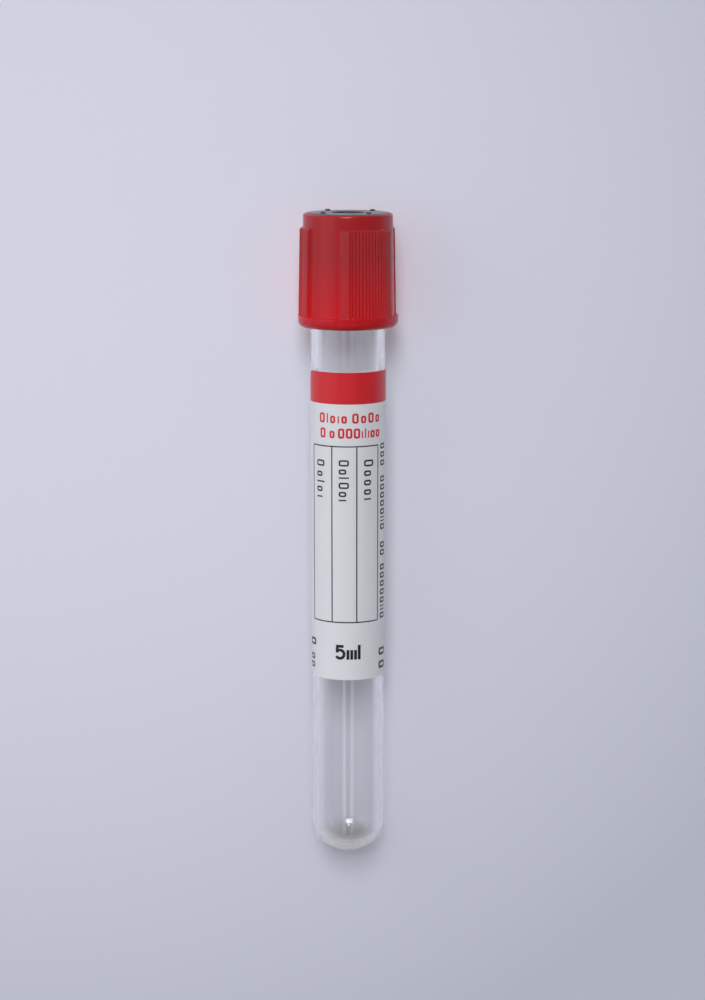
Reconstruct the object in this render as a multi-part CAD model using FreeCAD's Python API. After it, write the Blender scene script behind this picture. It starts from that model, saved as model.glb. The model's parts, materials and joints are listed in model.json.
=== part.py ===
"""Blood collection tube, nominal 13 x 100 mm, lying at rest on a flat surface. All sizes in millimetres.

The object has four pieces:
  tube     clear moulded tube with a round bottom, straight where a rack holds it and slightly tapered above
  label    self-adhesive film with rounded corners, wrapped round the front; the tube stays clear behind
  stopper  rubber stopper: a plug in the tube's mouth, a flange on its rim, and a head with a needle well
  cap      safety cap, snapped round the stopper's neck by an inner ledge, with three raised grip panels

Each piece is modelled upright about the Z axis, from the tube's outer bottom at Z = 0 up to the cap, with the
label's printed face towards -Y. lay_down() then puts it where it rests: +Y runs from the round bottom to the
cap, +Z is up, and the part stands on the cap's skirt flange and the tube's round bottom.
"""

import FreeCAD, Part
import math
import os

from FreeCAD import Placement, Rotation, Vector

# tube
TUBE_LENGTH = 100.0
MOUTH_DIAMETER = 12.6
FOOT_DIAMETER = 12.35           # of the straight stretch above the round bottom
STRAIGHT_HEIGHT = 31.0          # up to here the outside is straight, to fit a rack
MOUTH_BORE_DIAMETER = 10.5
FOOT_BORE_DIAMETER = 10.05
FLOOR_THICKNESS = 1.15          # at the bottom's middle
BOTTOM_CROWN_EXCESS = 0.8       # the bottom's middle has this much more radius than the wall
BOTTOM_KNUCKLE_RADIUS = 3.0     # where the bottom turns into the wall
FLOOR_CROWN_EXCESS = 0.8        # the same two inside
FLOOR_KNUCKLE_RADIUS = 2.2
RIM_FILLET = 0.25

# label
LABEL_ABOVE_STRAIGHT = 0.6      # from the straight stretch's end up to the label's lower edge
LABEL_HEIGHT = 52.3
LABEL_WIDTH = 20.5              # measured round the tube
LABEL_THICKNESS = 0.08
GLUE_THICKNESS = 0.02
LABEL_CORNER_RADIUS = 1.5
LABEL_START_ANGLE = -82.0       # its left edge, in degrees from the printed face's middle

# stopper
PLUG_LENGTH = 8.0
PLUG_CLEARANCE = 0.03           # between the plug and the tube's bore
PLUG_CHAMFER = 0.8
RIM_FLANGE_DIAMETER = 12.5      # flange that sits on the tube's rim
RIM_FLANGE_THICKNESS = 2.6
NECK_DIAMETER = 11.2
HEAD_DIAMETER = 13.7
HEAD_HEIGHT = 6.0
HEAD_FILLET = 0.3
WELL_DIAMETER = 5.6             # needle well in the head
WELL_DEPTH = 5.0
RECESS_DIAMETER = 6.0           # hollow in the plug's underside
RECESS_DEPTH = 8.2
NUB_COUNT = 4
NUB_DIAMETER = 0.9
NUB_HEIGHT = 0.3
NUB_FILLET = 0.2
NUB_CIRCLE_DIAMETER = 10.7
NUB_START_ANGLE = 39.7

# cap
CAP_HEIGHT = 18.9
CAP_RIM_BELOW_HEAD = 0.1        # the stopper's head stands this much proud of the cap's rim
CAP_TOP_DIAMETER = 14.96
CAP_DRAFT = 1.0                 # degrees, on the smooth wall and on the grip panels
CAP_TOP_FILLET = 0.42
SNAP_CLEARANCE = 0.05           # between the cap and the stopper, all round
LEDGE_THICKNESS = 1.3
SKIRT_CLEARANCE = 0.25          # between the cap's skirt and the tube
SKIRT_LEAD_IN = 0.5
SKIRT_FLANGE_DIAMETER = 16.8
SKIRT_FLANGE_HEIGHT = 1.95
SKIRT_FLANGE_FILLET = 1.0

# grip panels on the cap
PANEL_COUNT = 3
PANEL_TOP_BELOW_RIM = 2.35
PANEL_RISE = 0.58               # how far a panel's smooth bands stand above the cap's wall
PANEL_MIDDLE_ANGLE = 24.9       # of the middle panel, in degrees from the printed face's middle
PANEL_SPACING_ANGLE = 114.7     # between panels' middles, which leaves a wider smooth stretch at the back
BAND_ANGLE = 12.7               # width of the smooth band along each side of a panel
BAND_FLANK_ANGLE = 1.1          # width of a band's sloping side
RIB_COUNT = 11                  # fine ribs between a panel's two bands
RIB_PITCH_ANGLE = 4.17
RIB_CREST_SHARE = 0.3           # of the pitch, and as much again for the groove's floor
RIB_DEPTH = 0.2
RIB_CREST_DROP = 0.05           # crests lie this much under the bands
PANEL_TOP_CHAMFER = 0.35
PANEL_OVERLAP = 0.5             # how far a panel runs down into the skirt flange

CUT_MARGIN = 1.0                # how far a cutting shape passes the surfaces that it cuts

AXIS = Vector(0, 0, 1)
ORIGIN = Vector(0, 0, 0)

mouth_radius = MOUTH_DIAMETER / 2
foot_radius = FOOT_DIAMETER / 2
mouth_bore_radius = MOUTH_BORE_DIAMETER / 2
foot_bore_radius = FOOT_BORE_DIAMETER / 2
label_bottom = STRAIGHT_HEIGHT + LABEL_ABOVE_STRAIGHT

rim_flange_top = TUBE_LENGTH + RIM_FLANGE_THICKNESS
neck_length = LEDGE_THICKNESS + 2 * SNAP_CLEARANCE
head_bottom = rim_flange_top + neck_length
head_top = head_bottom + HEAD_HEIGHT

cap_top = head_top - CAP_RIM_BELOW_HEAD
cap_bottom = cap_top - CAP_HEIGHT
skirt_flange_top = cap_bottom + SKIRT_FLANGE_HEIGHT
panel_top = cap_top - PANEL_TOP_BELOW_RIM
draft_slope = math.tan(math.radians(CAP_DRAFT))


def dished_end(wall_radius, crown_excess, knuckle_radius, bottom):
    """Profile of a dished bottom: its edges from the axis out to the wall, and the height where the wall starts.

    A wide crown arc in the middle meets a tighter knuckle arc, which runs into the wall.
    """
    crown_radius = wall_radius + crown_excess
    swing = math.asin((wall_radius - knuckle_radius) / (crown_radius - knuckle_radius))
    wall_start = bottom + crown_radius - (crown_radius - knuckle_radius) * math.cos(swing)
    arcs = (
        (0, bottom + crown_radius, crown_radius, 0, swing),
        (wall_radius - knuckle_radius, wall_start, knuckle_radius, swing, math.pi / 2),
    )
    edges = []
    for across, up, radius, first, last in arcs:
        start, middle, end = [
            Vector(across + radius * math.sin(turn), 0, up - radius * math.cos(turn))
            for turn in (first, (first + last) / 2, last)
        ]
        edges.append(Part.Arc(start, middle, end).toShape())
    return edges, wall_start


bottom_edges, bottom_height = dished_end(foot_radius, BOTTOM_CROWN_EXCESS, BOTTOM_KNUCKLE_RADIUS, 0)
floor_edges, bore_start = dished_end(foot_bore_radius, FLOOR_CROWN_EXCESS, FLOOR_KNUCKLE_RADIUS, FLOOR_THICKNESS)


def tube_outer_radius(height):
    """Radius of the tube's tapered outside at a height above its straight stretch."""
    share = (height - STRAIGHT_HEIGHT) / (TUBE_LENGTH - STRAIGHT_HEIGHT)
    return foot_radius + share * (mouth_radius - foot_radius)


def tube_bore_radius(height):
    """Radius of the tube's tapered bore at a height above its rounded floor."""
    share = (height - bore_start) / (TUBE_LENGTH - bore_start)
    return foot_bore_radius + share * (mouth_bore_radius - foot_bore_radius)


def cap_wall_radius(height):
    """Outside radius of the cap's smooth wall, which widens downwards."""
    return CAP_TOP_DIAMETER / 2 + (cap_top - height) * draft_slope


def polar(radius, angle, height):
    """Point at an angle in degrees from the printed face's middle, positive towards +X."""
    turn = math.radians(angle)
    return Vector(radius * math.sin(turn), -radius * math.cos(turn), height)


def profile_edges(points):
    """Straight edges through (radius, height) points, in the XZ half plane."""
    corners = [Vector(radius, 0, height) for radius, height in points]
    return [Part.makeLine(a, b) for a, b in zip(corners, corners[1:])]


def revolved(edges, degrees=360.0):
    """Solid of revolution about the Z axis of a closed profile."""
    face = Part.Face(Part.Wire(edges))
    return face.revolve(ORIGIN, AXIS, degrees)


def circles_at(shape, radius, height, tolerance=1e-4):
    """The shape's circular edges about the Z axis with a given radius and height."""
    found = []
    for edge in shape.Edges:
        if edge.Degenerated or not isinstance(edge.Curve, Part.Circle):
            continue
        center = edge.Curve.Center
        on_axis = math.hypot(center.x, center.y) < tolerance
        same_size = abs(edge.Curve.Radius - radius) < tolerance
        if on_axis and same_size and abs(center.z - height) < tolerance:
            found.append(edge)
    return found


def make_tube():
    """Wall on a dished bottom, inside and outside, with a softened rim."""
    outer_foot = Vector(foot_radius, 0, bottom_height)
    outer_straight = Vector(foot_radius, 0, STRAIGHT_HEIGHT)
    outer_rim = Vector(mouth_radius, 0, TUBE_LENGTH)
    inner_rim = Vector(mouth_bore_radius, 0, TUBE_LENGTH)
    inner_foot = Vector(foot_bore_radius, 0, bore_start)
    wall = revolved([
        *bottom_edges,
        Part.makeLine(outer_foot, outer_straight),
        Part.makeLine(outer_straight, outer_rim),
        Part.makeLine(outer_rim, inner_rim),
        Part.makeLine(inner_rim, inner_foot),
        *reversed(floor_edges),
        Part.makeLine(Vector(0, 0, FLOOR_THICKNESS), ORIGIN),
    ])
    rim_edges = circles_at(wall, mouth_radius, TUBE_LENGTH) + circles_at(wall, mouth_bore_radius, TUBE_LENGTH)
    return wall.makeFillet(RIM_FILLET, rim_edges)


def corner_cutter(angle, height, side, end):
    """Block with a rounded inner corner, which trims one corner of the label to its radius.

    The block stands radially at (angle, height), the middle of the corner's arc. It reaches past the label's
    side edge (side is -1 or 1) and past its upper or lower edge (end is 1 or -1).
    """
    reach = 2 * LABEL_CORNER_RADIUS
    near = foot_radius - CUT_MARGIN
    depth = mouth_radius + CUT_MARGIN - near
    block = Part.makeBox(reach, depth, reach, Vector(min(0, side * reach), -near - depth, min(0, end * reach)))
    arc = Part.makeCylinder(LABEL_CORNER_RADIUS, depth, Vector(0, -near, 0), Vector(0, -1, 0))
    cutter = block.cut(arc)
    cutter.rotate(ORIGIN, AXIS, angle)
    cutter.translate(Vector(0, 0, height))
    return cutter


def make_label():
    """Thin film that follows the tube's taper, with its four corners rounded."""
    top = label_bottom + LABEL_HEIGHT
    inner_bottom = tube_outer_radius(label_bottom) + GLUE_THICKNESS
    inner_top = tube_outer_radius(top) + GLUE_THICKNESS
    middle_radius = (inner_bottom + inner_top) / 2
    wrap_angle = math.degrees(LABEL_WIDTH / middle_radius)
    corner_angle = math.degrees(LABEL_CORNER_RADIUS / middle_radius)
    film = revolved(profile_edges([
        (inner_bottom, label_bottom),
        (inner_bottom + LABEL_THICKNESS, label_bottom),
        (inner_top + LABEL_THICKNESS, top),
        (inner_top, top),
        (inner_bottom, label_bottom),
    ]), wrap_angle)
    film.rotate(ORIGIN, AXIS, LABEL_START_ANGLE - 90)   # the profile starts at +X, 90 degrees round
    for side, angle in ((-1, LABEL_START_ANGLE + corner_angle), (1, LABEL_START_ANGLE + wrap_angle - corner_angle)):
        film = film.cut(corner_cutter(angle, label_bottom + LABEL_CORNER_RADIUS, side, -1))
        film = film.cut(corner_cutter(angle, top - LABEL_CORNER_RADIUS, side, 1))
    return film


def make_stopper():
    """Turned body with a needle well above and a recess below, and small feet on its face."""
    plug_bottom = TUBE_LENGTH - PLUG_LENGTH
    plug_top_radius = mouth_bore_radius - PLUG_CLEARANCE
    plug_bottom_radius = tube_bore_radius(plug_bottom) - PLUG_CLEARANCE
    body = revolved(profile_edges([
        (0, plug_bottom),
        (plug_bottom_radius - PLUG_CHAMFER, plug_bottom),
        (plug_bottom_radius, plug_bottom + PLUG_CHAMFER),
        (plug_top_radius, TUBE_LENGTH),
        (RIM_FLANGE_DIAMETER / 2, TUBE_LENGTH),
        (RIM_FLANGE_DIAMETER / 2, rim_flange_top),
        (NECK_DIAMETER / 2, rim_flange_top),
        (NECK_DIAMETER / 2, head_bottom),
        (HEAD_DIAMETER / 2, head_bottom),
        (HEAD_DIAMETER / 2, head_top),
        (0, head_top),
        (0, plug_bottom),
    ]))
    well = Part.makeCylinder(WELL_DIAMETER / 2, WELL_DEPTH, Vector(0, 0, head_top - WELL_DEPTH))
    recess = Part.makeCylinder(RECESS_DIAMETER / 2, RECESS_DEPTH, Vector(0, 0, plug_bottom))
    body = body.cut(well).cut(recess)
    softened = circles_at(body, HEAD_DIAMETER / 2, head_top) + circles_at(body, WELL_DIAMETER / 2, head_top)
    body = body.makeFillet(HEAD_FILLET, softened)
    for index in range(NUB_COUNT):
        angle = NUB_START_ANGLE + index * 360 / NUB_COUNT
        foot = polar(NUB_CIRCLE_DIAMETER / 2, angle, head_top - NUB_HEIGHT)
        nub = Part.makeCylinder(NUB_DIAMETER / 2, 2 * NUB_HEIGHT, foot)
        top_edge = [edge for edge in nub.Edges if edge.BoundBox.ZMin > head_top]
        body = body.fuse(nub.makeFillet(NUB_FILLET, top_edge))
    return body.removeSplitter()


def grip_points(height, rise):
    """Corners of the grip's outline at one height: lists of (radius, angle), one list for each panel.

    Each list runs up one band's side, over the band, across the ribs and back down the other band.
    """
    wall = cap_wall_radius(height)
    band = wall + rise
    crest = band - RIB_CREST_DROP
    groove = crest - min(RIB_DEPTH, rise / 2)
    ribbed_angle = RIB_COUNT * RIB_PITCH_ANGLE
    half_panel = ribbed_angle / 2 + BAND_ANGLE
    half_crest = RIB_PITCH_ANGLE * RIB_CREST_SHARE / 2
    flank = RIB_PITCH_ANGLE * (0.5 - RIB_CREST_SHARE)
    panels = []
    for index in range(PANEL_COUNT):
        middle = PANEL_MIDDLE_ANGLE + (index - (PANEL_COUNT - 1) / 2) * PANEL_SPACING_ANGLE
        outline = [
            (wall, middle - half_panel),
            (band, middle - half_panel + BAND_FLANK_ANGLE),
            (band, middle - ribbed_angle / 2),
        ]
        for rib in range(RIB_COUNT):
            rib_middle = middle + (rib - (RIB_COUNT - 1) / 2) * RIB_PITCH_ANGLE
            outline += [
                (groove, rib_middle - half_crest - flank),
                (crest, rib_middle - half_crest),
                (crest, rib_middle + half_crest),
                (groove, rib_middle + half_crest + flank),
            ]
        outline += [
            (band, middle + ribbed_angle / 2),
            (band, middle + half_panel - BAND_FLANK_ANGLE),
            (wall, middle + half_panel),
        ]
        panels.append(outline)
    return panels


def grip_section(height, rise):
    """Closed wire of the grip's outline: arcs on the wall and the bands, straight lines elsewhere."""
    corners = [corner for outline in grip_points(height, rise) for corner in outline]
    edges = []
    for index, (radius, angle) in enumerate(corners):
        next_radius, next_angle = corners[(index + 1) % len(corners)]
        if next_angle < angle:
            next_angle += 360
        start = polar(radius, angle, height)
        end = polar(next_radius, next_angle, height)
        if abs(next_radius - radius) < 1e-9 and next_angle - angle > RIB_PITCH_ANGLE:
            middle = polar(radius, (angle + next_angle) / 2, height)
            edges.append(Part.Arc(start, middle, end).toShape())
        else:
            edges.append(Part.makeLine(start, end))
    return Part.Wire(edges)


def make_grip():
    """Three ribbed panels on the drafted wall, chamfered at their upper ends."""
    sections = [
        grip_section(skirt_flange_top - PANEL_OVERLAP, PANEL_RISE),
        grip_section(panel_top - PANEL_TOP_CHAMFER, PANEL_RISE),
        grip_section(panel_top, PANEL_RISE - PANEL_TOP_CHAMFER),
    ]
    return Part.makeLoft(sections, True, True)


def make_cap():
    """Shell with a snap ledge inside, the grip outside and a rounded flange round its mouth."""
    wall = revolved(profile_edges([
        (0, cap_bottom),
        (cap_wall_radius(cap_bottom), cap_bottom),
        (cap_wall_radius(cap_top), cap_top),
        (0, cap_top),
        (0, cap_bottom),
    ]))
    wall = wall.makeFillet(CAP_TOP_FILLET, circles_at(wall, cap_wall_radius(cap_top), cap_top))
    flange_radius = SKIRT_FLANGE_DIAMETER / 2
    flange = Part.makeCylinder(flange_radius, SKIRT_FLANGE_HEIGHT, Vector(0, 0, cap_bottom))
    flange = flange.makeFillet(SKIRT_FLANGE_FILLET, circles_at(flange, flange_radius, cap_bottom))
    outside = wall.fuse([make_grip(), flange])

    ledge_bottom = rim_flange_top + SNAP_CLEARANCE
    ledge_top = ledge_bottom + LEDGE_THICKNESS
    head_room = HEAD_DIAMETER / 2 + SNAP_CLEARANCE
    neck_room = NECK_DIAMETER / 2 + SNAP_CLEARANCE
    skirt_room = mouth_radius + SKIRT_CLEARANCE
    inside = revolved(profile_edges([
        (0, cap_bottom),
        (skirt_room + SKIRT_LEAD_IN, cap_bottom),
        (skirt_room, cap_bottom + SKIRT_LEAD_IN),
        (skirt_room, ledge_bottom),
        (neck_room, ledge_bottom),
        (neck_room, ledge_top),
        (head_room, ledge_top),
        (head_room, cap_top),
        (0, cap_top),
        (0, cap_bottom),
    ]))
    return outside.cut(inside).removeSplitter()


def resting_lean():
    """Angle in radians between the tube's axis and the surface that the part lies on.

    The bottom's knuckle and the rounded edge of the skirt flange both touch the surface.
    """
    ahead = cap_bottom + SKIRT_FLANGE_FILLET - bottom_height
    down = SKIRT_FLANGE_DIAMETER / 2 - SKIRT_FLANGE_FILLET - (foot_radius - BOTTOM_KNUCKLE_RADIUS)
    reach = math.hypot(ahead, down)
    return math.acos((BOTTOM_KNUCKLE_RADIUS - SKIRT_FLANGE_FILLET) / reach) - math.atan2(ahead, down)


def lay_down(pieces):
    """Turn the pieces from upright to where they rest, with the origin under the middle of their box."""
    lean = resting_lean()
    turn = Rotation(Vector(1, 0, 0), math.degrees(lean) - 90)
    for shape in pieces.values():
        shape.Placement = Placement(ORIGIN, turn).multiply(shape.Placement)
    box = Part.makeCompound(list(pieces.values())).optimalBoundingBox(False, False)
    knuckle_offset = foot_radius - BOTTOM_KNUCKLE_RADIUS
    lift = BOTTOM_KNUCKLE_RADIUS + knuckle_offset * math.cos(lean) - bottom_height * math.sin(lean)
    for shape in pieces.values():
        shape.translate(Vector(0, -(box.YMin + box.YMax) / 2, lift))


def main():
    pieces = {
        "tube": make_tube(),
        "label": make_label(),
        "stopper": make_stopper(),
        "cap": make_cap(),
    }
    lay_down(pieces)
    os.makedirs("parts", exist_ok=True)
    for name, shape in pieces.items():
        print(name, "valid", shape.isValid(), "solids", len(shape.Solids), "volume", round(shape.Volume, 3))
        shape.exportStep("parts/" + name + ".step")
    whole = Part.makeCompound(list(pieces.values())).optimalBoundingBox(False, False)
    print("lean in degrees", round(math.degrees(resting_lean()), 4))
    print("box", whole)


main()
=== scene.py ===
"""Looks of an evacuated blood collection tube that lies on a pale surface.

The sections follow the object as it is put together: the clear tube, the label and its print, the rubber
stopper and the cap, and then the surface, light and camera. Each piece is drawn upright in millimetres,
from the tube's round bottom up and with its printed face towards -Y, and is then laid down where the
frame has it.
"""

import json
import math

import bmesh
import bpy
from mathutils import Matrix, Vector


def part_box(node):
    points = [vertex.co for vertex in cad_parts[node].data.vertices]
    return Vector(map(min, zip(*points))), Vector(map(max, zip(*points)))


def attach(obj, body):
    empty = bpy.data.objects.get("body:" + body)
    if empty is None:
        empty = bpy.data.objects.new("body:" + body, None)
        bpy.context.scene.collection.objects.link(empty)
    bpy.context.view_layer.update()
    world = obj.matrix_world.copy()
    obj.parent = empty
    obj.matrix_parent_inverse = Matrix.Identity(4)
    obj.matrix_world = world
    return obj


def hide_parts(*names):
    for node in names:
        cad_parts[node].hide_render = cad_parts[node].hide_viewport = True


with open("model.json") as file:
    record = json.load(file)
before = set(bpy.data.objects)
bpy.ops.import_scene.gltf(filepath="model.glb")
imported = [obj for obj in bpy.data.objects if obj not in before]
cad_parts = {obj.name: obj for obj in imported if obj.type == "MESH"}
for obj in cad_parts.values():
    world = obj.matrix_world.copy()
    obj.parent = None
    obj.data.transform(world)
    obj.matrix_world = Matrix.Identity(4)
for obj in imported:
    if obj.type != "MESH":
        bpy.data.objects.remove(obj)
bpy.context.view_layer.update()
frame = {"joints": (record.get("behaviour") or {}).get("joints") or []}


# ---- Tube ----------------------------------------------------------------------------------------------
# A clear tube of PET, injection moulded in one shot: its round bottom is dished and thicker than its wall,
# its outside tapers above the straight stretch that a rack holds, and its rim is softened.

MM = 0.001
TUBE_LENGTH = 100.0
TUBE_STRAIGHT = 31.0
TUBE_MOUTH_RADIUS = 6.3
TUBE_FOOT_RADIUS = 6.175
BORE_MOUTH_RADIUS = 5.25
BORE_FOOT_RADIUS = 5.025
TUBE_FLOOR = 1.15
TUBE_RIM_FILLET = 0.25
BOTTOM_CROWN_EXCESS = 0.8       # the bottom's middle has this much more radius than the wall
BOTTOM_KNUCKLE = 3.0            # radius where the bottom turns into the wall
FLOOR_CROWN_EXCESS = 0.8        # the same two inside
FLOOR_KNUCKLE = 2.2
TUBE_STEPS = 192
ON_AXIS = 1e-6                  # a profile's point nearer to the axis than this lies on it
DISH_STEPS = 20                 # to each arc of the bottom
FILLET_STEPS = 5
PET_TINT = "#FEFEFE"
PET_TINT_THICK = "#EEEADC"


def arc(center, radius, start, end, count):
    """Profile points (radius, height) on an arc between two angles in degrees, both ends included."""
    points = []
    for index in range(count + 1):
        turn = math.radians(start + (end - start) * index / count)
        points.append((center[0] + radius * math.cos(turn), center[1] + radius * math.sin(turn)))
    return points


def dished_end(wall, crown_excess, knuckle, bottom, count):
    """Profile of a dished bottom from the axis to the wall: a wide crown arc, then a tighter knuckle."""
    crown = wall + crown_excess
    swing = math.asin((wall - knuckle) / (crown - knuckle))
    wall_start = bottom + crown - (crown - knuckle) * math.cos(swing)
    turn = math.degrees(swing) - 90
    return (
        arc((0, bottom + crown), crown, -90, turn, count)
        + arc((wall - knuckle, wall_start), knuckle, turn, 0, count)[1:]
    )


# Where the frame has the tube: its lean comes from the joint's axis, which is the tube's own, and its
# place from the bottom's two arcs, the knuckle that touches the surface and the crown that reaches
# furthest back.
bottom_arc = dished_end(TUBE_FOOT_RADIUS, BOTTOM_CROWN_EXCESS, BOTTOM_KNUCKLE, 0, DISH_STEPS)
floor_arc = dished_end(BORE_FOOT_RADIUS, FLOOR_CROWN_EXCESS, FLOOR_KNUCKLE, TUBE_FLOOR, DISH_STEPS)
along = Vector(frame["joints"][0]["axis"])
lean = math.asin(along.z)
bottom_height = bottom_arc[-1][1]
crown_radius = TUBE_FOOT_RADIUS + BOTTOM_CROWN_EXCESS
lift = (
    BOTTOM_KNUCKLE + (TUBE_FOOT_RADIUS - BOTTOM_KNUCKLE) * math.cos(lean)
    - bottom_height * math.sin(lean)
)
tube_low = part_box("tube")[0]
crown_center = (0, tube_low.y + crown_radius * MM, (lift + crown_radius * math.sin(lean)) * MM)
rest = (
    Matrix.Translation(crown_center)
    @ Matrix.Rotation(lean - math.pi / 2, 4, "X")
    @ Matrix.Scale(MM, 4)
    @ Matrix.Translation((0, 0, -crown_radius))
)


def softened(corners, closed=False):
    """Profile whose corners (radius, height, fillet) are rounded where their fillet is above zero."""
    points = []
    for index, (r, z, fillet) in enumerate(corners):
        inside = closed or 0 < index < len(corners) - 1
        if not fillet or not inside:
            points.append((r, z))
            continue
        corner = Vector((r, z))
        before = (Vector(corners[index - 1][:2]) - corner).normalized()
        after = (Vector(corners[(index + 1) % len(corners)][:2]) - corner).normalized()
        half = before.angle(after) / 2
        center = corner + (before + after).normalized() * fillet / math.sin(half)
        first = corner + before * fillet / math.tan(half) - center
        last = corner + after * fillet / math.tan(half) - center
        for step in range(FILLET_STEPS + 1):
            spoke = first.slerp(last, step / FILLET_STEPS).normalized() * fillet
            points.append(tuple(center + spoke))
    return points


def finish_mesh(name, mesh, sharp_angle):
    """Object of a mesh drawn upright: laid down, faces outwards, smooth but for edges past an angle."""
    mesh.transform(rest)
    mesh.shade_smooth()
    mesh.set_sharp_from_angle(angle=math.radians(sharp_angle))
    piece = bpy.data.objects.new(name, mesh)
    bpy.context.scene.collection.objects.link(piece)
    return piece


def turned(name, profile, steps, start_angle=0.0):
    """Closed mesh of a profile of (radius, height) points turned about the axis, on which it may end."""
    form = bmesh.new()
    rings = []
    for radius, height in profile:
        if radius < ON_AXIS:
            rings.append([form.verts.new((0, 0, height))] * steps)
            continue
        ring = []
        for step in range(steps):
            turn = math.radians(start_angle) + math.tau * step / steps
            ring.append(form.verts.new((radius * math.sin(turn), -radius * math.cos(turn), height)))
        rings.append(ring)
    for ring, following in zip(rings, rings[1:] + rings[:1]):
        for step in range(steps):
            beside = (step + 1) % steps
            around = (ring[step], ring[beside], following[beside], following[step])
            corners = list(dict.fromkeys(around))
            if len(corners) > 2:
                form.faces.new(corners)
    bmesh.ops.recalc_face_normals(form, faces=form.faces[:])
    mesh = bpy.data.meshes.new(name)
    form.to_mesh(mesh)
    form.free()
    return mesh


def linear(code):
    """An sRGB hex colour as the linear values that a shader takes."""
    parts = [int(code[place:place + 2], 16) / 255 for place in (1, 3, 5)]
    return [part / 12.92 if part <= 0.04045 else ((part + 0.055) / 1.055) ** 2.4 for part in parts] + [1.0]


MATH = "ShaderNodeMath"         # the node that does one sum, in any kind of tree


def add_node(tree, kind, sockets=(), **settings):
    """Add a node, set its properties, and fill its sockets, which are given by name or in order.

    A socket takes a value, or a link from another socket or from a node's first output.
    """
    node = tree.nodes.new(kind)
    for setting, value in settings.items():
        setattr(node, setting, value)
    filled = sockets if isinstance(sockets, dict) else dict(enumerate(sockets))
    for socket, value in filled.items():
        source = value.outputs[0] if isinstance(value, bpy.types.Node) else value
        if isinstance(source, bpy.types.NodeSocket):
            tree.links.new(source, node.inputs[socket])
        else:
            node.inputs[socket].default_value = source
    return node


def surface(name, **values):
    """New material: its node tree and its main shader, with the shader's sockets set by name."""
    material = bpy.data.materials.new(name)
    material.use_nodes = True
    tree = material.node_tree
    shader = tree.nodes["Principled BSDF"]
    for socket, value in values.items():
        shader.inputs[socket.replace("_", " ")].default_value = value
    return material, tree, shader


# Injection-moulded PET: glass-clear with a strong edge glint, because its index is higher than glass has.
# The mould's slow sink waves bend the reflections a little. Light that falls through it onto other things
# goes straight on, less of it where the wall is met askew or where the bottom would bend it away. Light
# that has been caught in the wall for several bounces goes straight on too. The bottom shows the resin's
# faint yellow.
SINK_WAVE = 4.0
SINK_DEPTH = 0.01
THICK_START = 1.0               # heights between which the bottom thins out to the wall
THICK_END = 4.2
PET_PASS = "#FEFEFE"
PET_PASS_BENT = "#8E8E98"
PET_ASKEW = 0.8
PET_ASKEW_POWER = 1.5           # above 1 keeps the shade to the wall's two edges
TRAPPED_DEPTH = 3.5             # bounces
clear_pet, tree, shader = surface(
    "injection-moulded clear PET",
    Roughness=0.015, IOR=1.575, Transmission_Weight=1.0,
)
place = add_node(tree, "ShaderNodeTexCoord")
height_along = add_node(tree, "ShaderNodeVectorMath", (
    place.outputs["Object"], along,
), operation="DOT_PRODUCT").outputs["Value"]
bottom_at = (rest @ Vector((0, 0, 0))).dot(along)
thick = add_node(tree, "ShaderNodeMapRange", {
    "Value": height_along, "From Min": bottom_at + THICK_END * MM, "From Max": bottom_at + THICK_START * MM,
})
tone = add_node(tree, "ShaderNodeMix", {
    "Factor": thick, 6: linear(PET_TINT), 7: linear(PET_TINT_THICK),
}, data_type="RGBA")
tree.links.new(tone.outputs[2], shader.inputs["Base Color"])
waves = add_node(tree, "ShaderNodeTexNoise", {
    "Vector": place.outputs["Object"], "Scale": 1 / (SINK_WAVE * MM), "Detail": 1.0,
})
sink = add_node(tree, "ShaderNodeBump", {
    "Height": waves.outputs["Fac"], "Strength": 0.08, "Distance": SINK_DEPTH * MM,
})
tree.links.new(sink.outputs["Normal"], shader.inputs["Normal"])
ray = add_node(tree, "ShaderNodeLightPath").outputs
trapped = add_node(tree, MATH, (ray["Ray Depth"], TRAPPED_DEPTH), operation="GREATER_THAN")
lighting = add_node(tree, MATH, (ray["Is Shadow Ray"], ray["Is Diffuse Ray"]), operation="MAXIMUM")
facing = add_node(tree, "ShaderNodeLayerWeight", {"Blend": 0.25}).outputs["Facing"]
edgewise = add_node(tree, MATH, (facing, PET_ASKEW_POWER), operation="POWER")
askew = add_node(tree, MATH, (edgewise, PET_ASKEW), operation="MULTIPLY")
bent = add_node(tree, MATH, (askew, thick), operation="MAXIMUM")
bent = add_node(tree, MATH, (bent, lighting), operation="MULTIPLY")
shade = add_node(tree, "ShaderNodeMix", {
    "Factor": bent, 6: linear(PET_PASS), 7: linear(PET_PASS_BENT),
}, data_type="RGBA")
passing = add_node(tree, "ShaderNodeBsdfTransparent", {"Color": shade.outputs[2]})
straight_on = add_node(tree, MATH, (trapped, lighting), operation="MAXIMUM")
let_through = add_node(tree, "ShaderNodeMixShader", (straight_on, shader, passing))
tree.links.new(let_through.outputs[0], tree.nodes["Material Output"].inputs["Surface"])

tube_profile = bottom_arc + softened([
    bottom_arc[-1] + (0,),
    (TUBE_FOOT_RADIUS, TUBE_STRAIGHT, 0),
    (TUBE_MOUTH_RADIUS, TUBE_LENGTH, TUBE_RIM_FILLET),
    (BORE_MOUTH_RADIUS, TUBE_LENGTH, TUBE_RIM_FILLET),
    floor_arc[-1] + (0,),
])[1:-1] + floor_arc[::-1]
tube = finish_mesh("moulded_tube", turned("moulded_tube", tube_profile, TUBE_STEPS), sharp_angle=60)
tube.data.materials.append(clear_pet)
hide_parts("tube")
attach(tube, "tube_body")


# ---- Label ---------------------------------------------------------------------------------------------
# A self-adhesive label of white coated polypropylene film, die cut with round corners. A machine rolls it
# round the tube's front from its left edge, and the back stays clear, so that the level can be seen there.

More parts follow.
